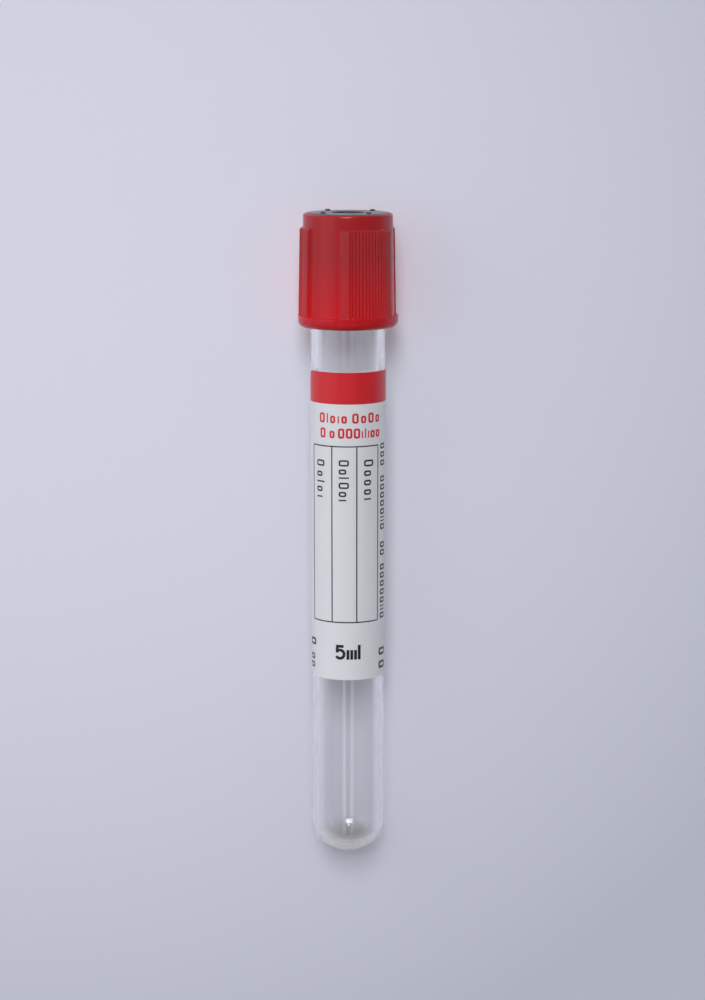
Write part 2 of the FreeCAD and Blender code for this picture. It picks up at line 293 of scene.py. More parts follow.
LABEL_BOTTOM = 31.6
LABEL_HEIGHT = 52.3
LABEL_WIDTH = 20.5
LABEL_START = -82.0             # degrees round from the front
LABEL_CORNER = 1.5
LABEL_CORNER_STEPS = 8
GLUE_THICKNESS = 0.02
FILM_THICKNESS = 0.08
FILM_COLUMN = 0.5               # step across, short enough to bend round the tube
FILM_WHITE = "#F2F3F3"
FILM_FLECK_WHITE = "#EDEEEF"
FILM_GLOW = 0.15                # share of the light that passes through the film
PAINTED_BACK_GLOW = 0.3                 # painted glow of the film's back, seen through the tube
COATING_GRAIN = 0.12
COATING_DEPTH = 0.004

label_top = LABEL_BOTTOM + LABEL_HEIGHT
tube_taper = (TUBE_MOUTH_RADIUS - TUBE_FOOT_RADIUS) / (TUBE_LENGTH - TUBE_STRAIGHT)
label_middle = (LABEL_BOTTOM + label_top) / 2
face_radius = TUBE_FOOT_RADIUS + (label_middle - TUBE_STRAIGHT) * tube_taper + GLUE_THICKNESS
label_left = math.radians(LABEL_START) * face_radius
film_face = GLUE_THICKNESS + FILM_THICKNESS


def bar(name, sections):
    """Closed mesh of a four-sided bar, given by the four corners of each of its sections in turn."""
    form = bmesh.new()
    loops = [[form.verts.new(corner) for corner in section] for section in sections]
    for loop, following in zip(loops, loops[1:]):
        for side in range(4):
            beside = (side + 1) % 4
            form.faces.new((loop[side], loop[beside], following[beside], following[side]))
    form.faces.new(loops[0])
    form.faces.new(loops[-1])
    bmesh.ops.recalc_face_normals(form, faces=form.faces[:])
    mesh = bpy.data.meshes.new(name)
    form.to_mesh(mesh)
    form.free()
    return mesh


def sheet(columns, under, over):
    """Thin closed sheet drawn flat, of (across, lowest, highest) columns between its two faces."""
    return bar("sheet", [
        ((across, low, under), (across, high, under), (across, high, over), (across, low, over))
        for across, low, high in columns
    ])


def label_columns(low, high, round_low, round_high):
    """Columns of a field that runs the label's whole width, with its lower or upper corners rounded."""
    turns = [math.radians(90 * step / LABEL_CORNER_STEPS) for step in range(LABEL_CORNER_STEPS + 1)]
    ends = [LABEL_CORNER * (1 - math.cos(turn)) for turn in turns]
    count = round((LABEL_WIDTH - 2 * LABEL_CORNER) / FILM_COLUMN)
    middle = [LABEL_CORNER + index * (LABEL_WIDTH - 2 * LABEL_CORNER) / count for index in range(1, count)]
    columns = []
    for across in ends + middle + [LABEL_WIDTH - end for end in reversed(ends)]:
        inward = LABEL_CORNER - min(across, LABEL_WIDTH - across, LABEL_CORNER)
        bite = LABEL_CORNER - math.sqrt(LABEL_CORNER ** 2 - inward ** 2)
        columns.append((label_left + across, low + bite * round_low, high - bite * round_high))
    return columns


def node_group(name, inputs):
    """New Geometry Nodes tree with named number inputs, and its two ends."""
    tree = bpy.data.node_groups.new(name, "GeometryNodeTree")
    tree.interface.new_socket("Geometry", in_out="INPUT", socket_type="NodeSocketGeometry")
    tree.interface.new_socket("Geometry", in_out="OUTPUT", socket_type="NodeSocketGeometry")
    for socket, value in inputs.items():
        kind = "NodeSocketMaterial" if value is None else "NodeSocketFloat"
        made = tree.interface.new_socket(socket, in_out="INPUT", socket_type=kind)
        if value is not None:
            made.default_value = value
    return tree, tree.nodes.new("NodeGroupInput").outputs, tree.nodes.new("NodeGroupOutput")


def end_group(tree, geometry, given, end):
    """Close a tree: real meshes instead of instances, and the material that was given."""
    real = add_node(tree, "GeometryNodeRealizeInstances", {"Geometry": geometry})
    dressed = add_node(tree, "GeometryNodeSetMaterial", {"Geometry": real, "Material": given["Material"]})
    tree.links.new(dressed.outputs[0], end.inputs[0])


def grown(mesh, group, **values):
    """Plain mesh that a Geometry Nodes tree makes from a mesh, with some of its inputs set by name."""
    carrier = bpy.data.objects.new("carrier", mesh)
    bpy.context.scene.collection.objects.link(carrier)
    modifier = carrier.modifiers.new(group.name, "NODES")
    modifier.node_group = group
    for item in group.interface.items_tree:
        if item.in_out == "INPUT" and item.name in values:
            modifier[item.identifier] = values[item.name]
    graph = bpy.context.evaluated_depsgraph_get()
    result = bpy.data.meshes.new_from_object(carrier.evaluated_get(graph))
    carrier.modifiers.remove(modifier)
    bpy.data.objects.remove(carrier)
    return result


# The tree bends a flat sheet round the tube: across becomes the way round, and up follows the taper.
wrap, given, end = node_group("wrap round the tube", {
    "Face Radius": face_radius, "Foot Radius": TUBE_FOOT_RADIUS, "Straight Height": TUBE_STRAIGHT,
    "Taper": tube_taper, "Material": None,
})
flat = add_node(wrap, "ShaderNodeSeparateXYZ", (add_node(wrap, "GeometryNodeInputPosition"),))
across, up, out = flat.outputs
turn = add_node(wrap, MATH, (across, given["Face Radius"]), operation="DIVIDE")
above = add_node(wrap, MATH, (up, given["Straight Height"]), operation="SUBTRACT")
wall = add_node(wrap, MATH, (above, given["Taper"], given["Foot Radius"]), operation="MULTIPLY_ADD")
reach = add_node(wrap, MATH, (wall, out), operation="ADD")
sine = add_node(wrap, MATH, (turn,), operation="SINE")
cosine = add_node(wrap, MATH, (turn,), operation="COSINE")
sideways = add_node(wrap, MATH, (reach, sine), operation="MULTIPLY")
frontwards = add_node(wrap, MATH, (reach, cosine), operation="MULTIPLY")
backwards = add_node(wrap, MATH, (frontwards, -1.0), operation="MULTIPLY")
bent = add_node(wrap, "ShaderNodeCombineXYZ", (sideways, backwards, up))
moved = add_node(wrap, "GeometryNodeSetPosition", {"Geometry": given["Geometry"], "Position": bent})
end_group(wrap, moved, given, end)

# Coated polypropylene film: white, even and half matt, with a fine grain in its coating that keeps
# reflections soft and broad. It is thin enough to let a little light through from behind. Its back, seen
# through the tube, carries a painted glow, so that it isn't as dark as the shade that it lies in.
white_film, tree, shader = surface("coated white polypropylene film", Roughness=0.34, IOR=1.5)
place = add_node(tree, "ShaderNodeTexCoord")
grain = add_node(tree, "ShaderNodeTexNoise", {
    "Vector": place.outputs["Object"], "Scale": 1 / (COATING_GRAIN * MM), "Detail": 2.0,
})
tone = add_node(tree, "ShaderNodeMix", {
    "Factor": grain.outputs["Fac"], 6: linear(FILM_WHITE), 7: linear(FILM_FLECK_WHITE),
}, data_type="RGBA")
tooth = add_node(tree, "ShaderNodeBump", {
    "Height": grain.outputs["Fac"], "Strength": 0.2, "Distance": COATING_DEPTH * MM,
})
tree.links.new(tone.outputs[2], shader.inputs["Base Color"])
tree.links.new(tooth.outputs["Normal"], shader.inputs["Normal"])
# Painted glow: seen through the tube, the film's back glows in its own white.
through_tube = add_node(tree, "ShaderNodeLightPath").outputs["Is Transmission Ray"]
painted_back_glow = add_node(tree, MATH, (through_tube, PAINTED_BACK_GLOW), operation="MULTIPLY")
tree.links.new(tone.outputs[2], shader.inputs["Emission Color"])
tree.links.new(painted_back_glow.outputs[0], shader.inputs["Emission Strength"])
glow = add_node(tree, "ShaderNodeBsdfTranslucent", {"Color": tone.outputs[2]})
thin = add_node(tree, "ShaderNodeMixShader", (FILM_GLOW, shader, glow))
tree.links.new(thin.outputs[0], tree.nodes["Material Output"].inputs["Surface"])
film = sheet(label_columns(LABEL_BOTTOM, label_top, 1, 1), GLUE_THICKNESS, film_face)
label = finish_mesh("label_film", grown(film, wrap, Material=white_film), sharp_angle=40)
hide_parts("label")
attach(label, "tube_body")


# ---- Print on the label ---------------------------------------------------------------------------------
# Flexographic ink, laid on the film in two colours: a red colour-code band and heading, and a black form
# with its field names and marks. Words are stood in for by rows of small blocks, which spell nothing.

INK_THICKNESS = 0.012
INK_SINK = 0.004
BAND_HEIGHT = 5.3
INK_RED = "#D61F28"
INK_RED_THIN = "#DE2830"
INK_BLACK = "#17161A"
INK_BLACK_THIN = "#232226"
INK_MOTTLE = 0.5

FORM_LEFT = -6.96
FORM_COLUMN = 4.21
FORM_COLUMNS = 3
FORM_BOTTOM = 41.55
FORM_TOP = 71.5
FORM_LINE = 0.2
BEND_STEP = 0.3                 # longest straight stretch of a line that runs round the tube
MITRE_LEAST = 0.5               # a line's sharp corner reaches out no more than a whole width

BLOCK_STROKE = 0.16
HEADING_STROKE = 0.21
SIDE_STROKE = 0.2
BLOCK_CORNER = 0.11
BLOCK_GAP = 0.22
BLOCK_KINDS = {                 # width and height of each
    "B": (0.62, 1.0), "b": (0.52, 0.74), "I": (0.14, 1.0), "i": (0.14, 0.74),
}
BLOCK_FACTS = {"kind": "INT", "size": "FLOAT", "turn": "FLOAT"}   # what a point says of its block

HEADING_UPPER = 75.45           # heights of its two lines
HEADING_LOWER = 72.93
HEADING_SIZE = 1.6
FIELD_START = 69.3
FIELD_SIZE = 1.7
MARKS_LEFT = -8.4
MARKS_RIGHT = 6.4
MARKS_SIZE = 1.5

under_ink = film_face - INK_SINK
over_ink = film_face + INK_THICKNESS


def joined(meshes):
    """One mesh of several."""
    form = bmesh.new()
    for mesh in meshes:
        form.from_mesh(mesh)
    whole = bpy.data.meshes.new("joined")
    form.to_mesh(whole)
    form.free()
    return whole


def stroke(path, width):
    """Inked line of a given width along (across, up) points, drawn flat as a thin closed solid."""
    points = [Vector(point) for point in path]
    sections = []
    for before, here, after in zip(points[:1] + points, points, points[1:] + points[-1:]):
        arriving = (here - before).normalized()
        leaving = (after - here).normalized()
        ahead = (arriving + leaving).normalized()
        spread = width / 2 / max(MITRE_LEAST, ahead.dot(leaving if leaving.length else arriving))
        side = Vector((-ahead.y, ahead.x)) * spread
        right = here - side
        left = here + side
        sections.append(((*right, under_ink), (*left, under_ink), (*left, over_ink), (*right, over_ink)))
    return bar("stroke", sections)


def stretch(start, end):
    """Points from one to another, close enough together to bend round the tube."""
    start, end = Vector(start), Vector(end)
    count = max(1, math.ceil((end - start).length / BEND_STEP))
    return [start.lerp(end, index / count) for index in range(count + 1)]


def word(start, length, size, pattern, down=False):
    """Blocks of one word as (place, kind, size, turn), along the heading or, with down, along the tube."""
    widths = [BLOCK_KINDS[kind][0] for kind in pattern]
    fit = length / (sum(widths) + BLOCK_GAP * (len(widths) - 1))
    ahead = Vector((0, -1)) if down else Vector((1, 0))
    blocks = []
    run = 0.0
    for kind, width in zip(pattern, widths):
        place = Vector(start) + ahead * (run + width / 2) * fit
        blocks.append((place, list(BLOCK_KINDS).index(kind), size, -math.pi / 2 if down else 0.0))
        run += width + BLOCK_GAP
    return blocks


# The tree sets a small open or solid block at each point, turned and scaled as the point says.
blocks_group, given, end = node_group("print blocks", {
    "Stroke": BLOCK_STROKE, "Corner": BLOCK_CORNER, "Thickness": over_ink - under_ink, "Material": None,
})
section = add_node(blocks_group, "GeometryNodeCurvePrimitiveQuadrilateral", {
    "Width": given["Stroke"], "Height": given["Thickness"],
}, mode="RECTANGLE")
shapes = add_node(blocks_group, "GeometryNodeJoinGeometry")
for width, height in reversed(BLOCK_KINDS.values()):
    if width > BLOCK_STROKE:
        outline = add_node(blocks_group, "GeometryNodeCurvePrimitiveQuadrilateral", {
            "Width": width - BLOCK_STROKE, "Height": height - BLOCK_STROKE,
        }, mode="RECTANGLE")
        rounded_outline = add_node(blocks_group, "GeometryNodeFilletCurve", {
            "Curve": outline, "Radius": given["Corner"], "Count": 2,
        }, mode="POLY")
        finer = add_node(blocks_group, "GeometryNodeSubdivideCurve", {"Curve": rounded_outline, "Cuts": 2})
        level = add_node(blocks_group, "GeometryNodeSetCurveNormal", {"Curve": finer}, mode="Z_UP")
        shape = add_node(blocks_group, "GeometryNodeCurveToMesh", {
            "Curve": level, "Profile Curve": section,
        })
    else:
        size = add_node(blocks_group, "ShaderNodeCombineXYZ", (width, height, given["Thickness"]))
        shape = add_node(blocks_group, "GeometryNodeMeshCube", {
            "Size": size, "Vertices X": 2, "Vertices Y": 8,
        })
    seated = add_node(blocks_group, "GeometryNodeTransform", {
        "Geometry": shape, "Translation": (0, height / 2, (under_ink + over_ink) / 2),
    })
    single = add_node(blocks_group, "GeometryNodeGeometryToInstance", (seated,))
    blocks_group.links.new(single.outputs[0], shapes.inputs[0])
said = {
    name: add_node(blocks_group, "GeometryNodeInputNamedAttribute", {"Name": name}, data_type=kind)
    for name, kind in BLOCK_FACTS.items()
}
spin = add_node(blocks_group, "ShaderNodeCombineXYZ", (0.0, 0.0, said["turn"]))
scale = add_node(blocks_group, "ShaderNodeCombineXYZ", (said["size"], said["size"], 1.0))
placed = add_node(blocks_group, "GeometryNodeInstanceOnPoints", {
    "Points": given["Geometry"], "Instance": shapes, "Pick Instance": True,
    "Instance Index": said["kind"], "Rotation": spin, "Scale": scale,
})
end_group(blocks_group, placed, given, end)


def printed_words(blocks, line=BLOCK_STROKE):
    """Flat mesh of the blocks of several words."""
    points = bpy.data.meshes.new("words")
    points.from_pydata([(place.x, place.y, 0) for place, kind, size, turn in blocks], [], [])
    for column, (name, kind) in enumerate(BLOCK_FACTS.items(), 1):
        attribute = points.attributes.new(name, kind, "POINT")
        attribute.data.foreach_set("value", [block[column] for block in blocks])
    return grown(points, blocks_group, Stroke=line)


def ink(name, colour, worn):
    """Flexographic ink: a thin glossy skin with a faint mottle, where the plate pressed unevenly."""
    material, tree, shader = surface(name, Roughness=0.3, IOR=1.5)
    place = add_node(tree, "ShaderNodeTexCoord")
    mottle = add_node(tree, "ShaderNodeTexNoise", {
        "Vector": place.outputs["Object"], "Scale": 1 / (INK_MOTTLE * MM), "Detail": 1.0,
    })
    tone = add_node(tree, "ShaderNodeMix", {
        "Factor": mottle.outputs["Fac"], 6: linear(colour), 7: linear(worn),
    }, data_type="RGBA")
    tree.links.new(tone.outputs[2], shader.inputs["Base Color"])
    return material


# Red: the band that codes the tube's kind, and a heading of two lines. Each word is given by its start,
# across and up, its length, the size of its blocks, and their kinds.
band = sheet(label_columns(label_top - BAND_HEIGHT, label_top, 0, 1), under_ink, over_ink)
heading = (
    word((-5.17, HEADING_UPPER), 5.0, HEADING_SIZE, "BIbib")
    + word((0.67, HEADING_UPPER), 5.26, HEADING_SIZE, "BbBb")
    + word((-5.18, HEADING_LOWER), 3.05, HEADING_SIZE, "Bb")
    + word((-1.6, HEADING_LOWER), 7.55, HEADING_SIZE, "BBBiIibb")
)
red_ink = ink("flexographic red ink", INK_RED, INK_RED_THIN)
red_flat = joined([band, printed_words(heading, HEADING_STROKE)])
red_print = finish_mesh("label_red_print", grown(red_flat, wrap, Material=red_ink), sharp_angle=40)

# Black: a ruled form of three columns with a field name in each, marks beside it, and a volume mark. The
# names and marks run down the label.
form_right = FORM_LEFT + FORM_COLUMN * FORM_COLUMNS
lines = [
    stroke([(FORM_LEFT + FORM_COLUMN * column, up) for up in (FORM_BOTTOM, FORM_TOP)], FORM_LINE)
    for column in range(FORM_COLUMNS + 1)
]
lines += [stroke(stretch((FORM_LEFT, up), (form_right, up)), FORM_LINE) for up in (FORM_BOTTOM, FORM_TOP)]
fields = (
    word((-5.89, FIELD_START), 6.6, FIELD_SIZE, "BbIbi", True)
    + word((-1.55, FIELD_START), 3.2, FIELD_SIZE, "BbI", True)
    + word((-1.55, 65.5), 3.2, FIELD_SIZE, "Bbi", True)
    + word((2.72, FIELD_START), 6.9, 1.8, "Bbbbi", True)
)
side_marks = (
    word((MARKS_RIGHT, 71.7), 3.9, 1.4, "BBB", True)
    + word((MARKS_RIGHT, 66.1), 9.2, MARKS_SIZE, "BBBBBIIB", True)
    + word((MARKS_RIGHT, 54.8), 2.3, MARKS_SIZE, "BB", True)
    + word((MARKS_RIGHT, 51.0), 9.4, MARKS_SIZE, "BBBBBIIB", True)
    + word((MARKS_LEFT, 38.3), 1.4, 1.9, "B", True)
    + word((MARKS_LEFT, 35.5), 2.5, MARKS_SIZE, "BB", True)
    + word((6.1, 36.7), 1.6, 2.0, "B", True)
    + word((6.1, 34.4), 1.6, 2.0, "B", True)
)

# The volume mark: a bold plain numeral, and four bold bars of which the last is the tallest.
NUMERAL_LOW = 35.35
NUMERAL_HEIGHT = 2.08
NUMERAL_STROKE = 0.48
NUMERAL_LEFT = -2.05
NUMERAL_RIGHT = -0.75
STEM_ACROSS = -1.85
STEM_LENGTH = 1.1
BOWL_ACROSS = -1.38
BOWL_RADIUS = 0.72
BOWL_START = 130
BOWL_END = -150
BOWL_STEPS = 16
BAR_START = -0.02
BAR_STEP = 0.64
BAR_DROP = 0.2
BAR_HEIGHTS = (1.45, 1.45, 1.45, 2.3)
numeral_top = NUMERAL_LOW + NUMERAL_HEIGHT
stem = [(STEM_ACROSS, numeral_top - NUMERAL_STROKE / 2), (STEM_ACROSS, numeral_top - STEM_LENGTH)]
bowl = arc((BOWL_ACROSS, NUMERAL_LOW + BOWL_RADIUS), BOWL_RADIUS, BOWL_START, BOWL_END, BOWL_STEPS)
marks = [
    stroke(stretch((NUMERAL_RIGHT, numeral_top), (NUMERAL_LEFT, numeral_top)), NUMERAL_STROKE),
    stroke(stem, NUMERAL_STROKE),
    stroke(bowl, NUMERAL_STROKE),
]
for index, height in enumerate(BAR_HEIGHTS):
    across = BAR_START + BAR_STEP * index
    upright = [(across, NUMERAL_LOW - BAR_DROP), (across, NUMERAL_LOW + height)]
    marks.append(stroke(upright, NUMERAL_STROKE))
words = [printed_words(fields), printed_words(side_marks, SIDE_STROKE)]
black_ink = ink("flexographic black ink", INK_BLACK, INK_BLACK_THIN)
black_flat = joined(lines + marks + words)
black_print = finish_mesh("label_black_print", grown(black_flat, wrap, Material=black_ink), sharp_angle=40)
for print_layer in (red_print, black_print):
    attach(print_layer, "tube_body")


# ---- Stopper --------------------------------------------------------------------------------------------
# A stopper of dark butyl rubber, compression moulded: its plug seals the tube's mouth, its flange sits on
# the rim, and its head, with a well for the needle and four small feet, is gripped by the cap.

PLUG_LENGTH = 8.0
PLUG_RADIUS = 5.22
PLUG_END_RADIUS = 5.197
PLUG_CHAMFER = 0.8
RIM_FLANGE_RADIUS = 6.25
RIM_FLANGE_THICKNESS = 2.6
NECK_RADIUS = 5.6
NECK_LENGTH = 1.4
HEAD_RADIUS = 6.85
HEAD_HEIGHT = 6.0
HEAD_FILLET = 0.3
STOPPER_EDGE = 0.1              # fillet of its other outer edges
HOLLOW_FILLET = 0.3             # at the floors of the well and the recess
STOPPER_STEPS = 144
WELL_RADIUS = 2.8
WELL_DEPTH = 5.0
RECESS_RADIUS = 3.0
RECESS_DEPTH = 8.2
FOOT_COUNT = 4
FOOT_RADIUS = 0.45
FOOT_HEIGHT = 0.3
FOOT_FILLET = 0.2
FOOT_STEPS = 24
FOOT_CIRCLE = 5.35
FOOT_START = 39.7               # degrees round from the front
RUBBER_DARK = "#2F3332"
RUBBER_DUST = "#5B605E"
RUBBER_SPECK = 0.25
SPECK_DEPTH = 0.02

plug_bottom = TUBE_LENGTH - PLUG_LENGTH
rim_flange_top = TUBE_LENGTH + RIM_FLANGE_THICKNESS
head_bottom = rim_flange_top + NECK_LENGTH
head_top = head_bottom + HEAD_HEIGHT
stopper_profile = softened([
    (0, plug_bottom + RECESS_DEPTH, 0),
    (RECESS_RADIUS, plug_bottom + RECESS_DEPTH, HOLLOW_FILLET),
    (RECESS_RADIUS, plug_bottom, STOPPER_EDGE),
    (PLUG_END_RADIUS - PLUG_CHAMFER, plug_bottom, STOPPER_EDGE),
    (PLUG_END_RADIUS, plug_bottom + PLUG_CHAMFER, STOPPER_EDGE),
    (PLUG_RADIUS, TUBE_LENGTH, 0),
    (RIM_FLANGE_RADIUS, TUBE_LENGTH, STOPPER_EDGE),
    (RIM_FLANGE_RADIUS, rim_flange_top, STOPPER_EDGE),
    (NECK_RADIUS, rim_flange_top, 0),
    (NECK_RADIUS, head_bottom, 0),
    (HEAD_RADIUS, head_bottom, STOPPER_EDGE),
    (HEAD_RADIUS, head_top, HEAD_FILLET),
    (WELL_RADIUS, head_top, HEAD_FILLET),
    (WELL_RADIUS, head_top - WELL_DEPTH, HOLLOW_FILLET),
    (0, head_top - WELL_DEPTH, 0),
])
foot_profile = softened([
    (0, -FOOT_HEIGHT, 0),
    (FOOT_RADIUS, -FOOT_HEIGHT, 0),
    (FOOT_RADIUS, FOOT_HEIGHT, FOOT_FILLET),
    (0, FOOT_HEIGHT, 0),
])

# The tree repeats a small part round the axis.
ring_group, given, end = node_group("repeat round the axis", {
    "Count": FOOT_COUNT, "Radius": FOOT_CIRCLE, "Height": head_top, "Start Angle": FOOT_START,
    "Material": None,
})
count = add_node(ring_group, MATH, (given["Count"],), operation="ROUND")
circle = add_node(ring_group, "GeometryNodeMeshCircle", {"Vertices": count, "Radius": given["Radius"]})
start = add_node(ring_group, MATH, (given["Start Angle"],), operation="RADIANS")
begin = add_node(ring_group, MATH, (start, math.pi / 2), operation="SUBTRACT")
lifted = add_node(ring_group, "GeometryNodeTransform", {
    "Geometry": circle,
    "Translation": add_node(ring_group, "ShaderNodeCombineXYZ", (0.0, 0.0, given["Height"])),
    "Rotation": add_node(ring_group, "ShaderNodeCombineXYZ", (0.0, 0.0, begin)),
})
repeated = add_node(ring_group, "GeometryNodeInstanceOnPoints", {
    "Points": lifted, "Instance": given["Geometry"],
})
end_group(ring_group, repeated, given, end)

# Compression-moulded butyl rubber: dark, matt and faintly dusty with talc, so its face turns pale at a
# grazing view, and fine pale specks break up its surface.
butyl, tree, shader = surface(
    "compression-moulded butyl rubber", Roughness=0.5, IOR=1.52, Sheen_Weight=0.4, Sheen_Roughness=0.4,
)
place = add_node(tree, "ShaderNodeTexCoord")
specks = add_node(tree, "ShaderNodeTexNoise", {
    "Vector": place.outputs["Object"], "Scale": 1 / (RUBBER_SPECK * MM), "Detail": 4.0,
})
dust = add_node(tree, "ShaderNodeMapRange", {
    "Value": specks.outputs["Fac"], "From Min": 0.45, "From Max": 0.75,
})
tone = add_node(tree, "ShaderNodeMix", {
    "Factor": dust, 6: linear(RUBBER_DARK), 7: linear(RUBBER_DUST),
}, data_type="RGBA")
skin = add_node(tree, "ShaderNodeBump", {
    "Height": specks.outputs["Fac"], "Strength": 0.4, "Distance": SPECK_DEPTH * MM,
})
tree.links.new(tone.outputs[2], shader.inputs["Base Color"])
tree.links.new(skin.outputs["Normal"], shader.inputs["Normal"])

feet = grown(turned("foot", foot_profile, FOOT_STEPS), ring_group, Material=butyl)
stopper_mesh = joined([turned("stopper", stopper_profile, STOPPER_STEPS), feet])
stopper_mesh.materials.clear()
stopper_mesh.materials.append(butyl)
stopper = finish_mesh("rubber_stopper", stopper_mesh, sharp_angle=60)
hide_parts("stopper")
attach(stopper, "closure")


# ---- Cap ------------------------------------------------------------------------------------------------
# A safety cap of red polyethylene, injection moulded over a textured core, and snapped round the stopper's
# neck by an inner ledge. Three raised panels, each of fine ribs between two smooth bands, give the thumb
# its grip.

CAP_HEIGHT = 18.9
CAP_RIM_DROP = 0.1
CAP_TOP_RADIUS = 7.48
CAP_DRAFT = 1.0
CAP_TOP_FILLET = 0.42
CAP_MOUTH_FILLET = 0.12
CAP_EDGE = 0.1                  # fillet of its small inner edges
SNAP_CLEARANCE = 0.05
LEDGE_THICKNESS = 1.3
SKIRT_CLEARANCE = 0.25
SKIRT_LEAD_IN = 0.5
SKIRT_FLANGE_RADIUS = 8.4
SKIRT_FLANGE_HEIGHT = 1.95
SKIRT_FLANGE_FILLET = 1.0
SKIRT_FLANGE_CREASE = 0.04
SKIRT_FLANGE_ROW = 0.2          # first row of points on the wall above the flange
PANEL_TOP_DROP = 2.35
PANEL_RISE = 0.58
PANEL_MIDDLE = 24.9             # degrees round from the front; its other angles are degrees too
PANEL_SPACING = 114.7
PANEL_CHAMFER = 0.35
PANEL_SHOULDER = 0.05
PANEL_ROWS = (0.0, 0.06, 0.14, 0.22, 0.3, 0.36, 0.46, 0.7)   # rows of points, down from its top
BAND_ANGLE = 12.7
BAND_FLANK = 1.1
RIB_COUNT = 11
RIB_PITCH = 4.17
RIB_CREST_SHARE = 0.3
RIB_DEPTH = 0.2
RIB_CREST_DROP = 0.05
CAP_STEPS = 690                 # eight to each rib
ON_WALL = 0.01                  # how near the wall's radius a point counts as on it
CAP_RED = "#C8161D"
# Painted shade: the red is painted darker up the cap, where the stopper backs the wall, over a soft blur.
CAP_RED_PAINTED_SHADE = "#AE2025"
PAINTED_SHADE_HEIGHT = 99.5
PAINTED_SHADE_BLUR = 9.0
PAINTED_RED_GLOW = 0.4             # painted glow in the cap's red, seen by light bouncing onto what is beside it
SPARK_GRAIN = 0.22
SPARK_DEPTH = 0.12
SPARK_START = 0.3               # shares of a panel's rise between which the texture sets in
SPARK_FULL = 0.55
ORANGE_PEEL = 2.5
PEEL_DEPTH = 0.03

cap_top = head_top - CAP_RIM_DROP
cap_bottom = cap_top - CAP_HEIGHT
flange_top = cap_bottom + SKIRT_FLANGE_HEIGHT
panel_top = cap_top - PANEL_TOP_DROP
ledge_bottom = rim_flange_top + SNAP_CLEARANCE
ledge_top = ledge_bottom + LEDGE_THICKNESS
head_room = HEAD_RADIUS + SNAP_CLEARANCE
neck_room = NECK_RADIUS + SNAP_CLEARANCE
skirt_room = TUBE_MOUTH_RADIUS + SKIRT_CLEARANCE
draft = math.tan(math.radians(CAP_DRAFT))


def cap_wall(height, fillet=0):
    """Profile corner on the smooth wall, which widens downwards."""
    return (CAP_TOP_RADIUS + (cap_top - height) * draft, height, fillet)


cap_profile = softened([
    (skirt_room + SKIRT_LEAD_IN, cap_bottom, CAP_EDGE),
    (SKIRT_FLANGE_RADIUS, cap_bottom, SKIRT_FLANGE_FILLET),
    (SKIRT_FLANGE_RADIUS, flange_top, SKIRT_FLANGE_CREASE),
    cap_wall(flange_top),
    cap_wall(flange_top + SKIRT_FLANGE_ROW),
    cap_wall((flange_top + panel_top) / 2),
    *[cap_wall(panel_top - drop) for drop in reversed(PANEL_ROWS)],
    cap_wall(panel_top + PANEL_SHOULDER),
    cap_wall(panel_top + 3 * PANEL_SHOULDER),
    cap_wall(cap_top, CAP_TOP_FILLET),
    (head_room, cap_top, CAP_MOUTH_FILLET),
    (head_room, ledge_top, 0),
    (neck_room, ledge_top, CAP_EDGE),
    (neck_room, ledge_bottom, CAP_EDGE),
    (skirt_room, ledge_bottom, 0),
    (skirt_room, cap_bottom + SKIRT_LEAD_IN, CAP_EDGE),
], closed=True)

# The tree raises the panels on the wall by rule: an angle folded about each panel's middle gives the bands
# and, folded again by the ribs' pitch, the ribs; a height limit gives the chamfer at each panel's top.
grip, given, end = node_group("grip panels", {
    "Wall Top Radius": CAP_TOP_RADIUS, "Wall Top": cap_top, "Draft": draft, "Panel Top": panel_top,
    "Panel Middle": PANEL_MIDDLE, "Panel Spacing": PANEL_SPACING, "Rise": PANEL_RISE,
    "Chamfer": PANEL_CHAMFER, "Shoulder": PANEL_SHOULDER, "Band": BAND_ANGLE, "Flank": BAND_FLANK,
    "Rib Count": RIB_COUNT, "Rib Pitch": RIB_PITCH, "Rib Crest": RIB_CREST_SHARE,
    "Rib Depth": RIB_DEPTH, "Crest Drop": RIB_CREST_DROP, "Material": None,
})
spot = add_node(grip, "ShaderNodeSeparateXYZ", (add_node(grip, "GeometryNodeInputPosition"),))
x, y, z = spot.outputs
x_squared = add_node(grip, MATH, (x, x), operation="MULTIPLY")
y_squared = add_node(grip, MATH, (y, y), operation="MULTIPLY")
radius = add_node(grip, MATH, (x_squared, y_squared), operation="ADD")
radius = add_node(grip, MATH, (radius,), operation="SQRT")

# How many degrees a point lies from the middle of the panel nearest to it.
frontwards = add_node(grip, MATH, (y, -1.0), operation="MULTIPLY")
bearing = add_node(grip, MATH, (x, frontwards), operation="ARCTAN2")
bearing = add_node(grip, MATH, (bearing,), operation="DEGREES")
bearing = add_node(grip, MATH, (bearing, given["Panel Middle"]), operation="SUBTRACT")
bearing = add_node(grip, MATH, (bearing, 180.0, -180.0), operation="WRAP")
nearest = add_node(grip, MATH, (bearing, given["Panel Spacing"]), operation="DIVIDE")
nearest = add_node(grip, MATH, (nearest,), operation="ROUND")
nearest = add_node(grip, MATH, (nearest, -1.0), operation="MAXIMUM")
nearest = add_node(grip, MATH, (nearest, 1.0), operation="MINIMUM")
middle = add_node(grip, MATH, (nearest, given["Panel Spacing"]), operation="MULTIPLY")
off_middle = add_node(grip, MATH, (bearing, middle), operation="SUBTRACT")
off_middle = add_node(grip, MATH, (off_middle,), operation="ABSOLUTE")

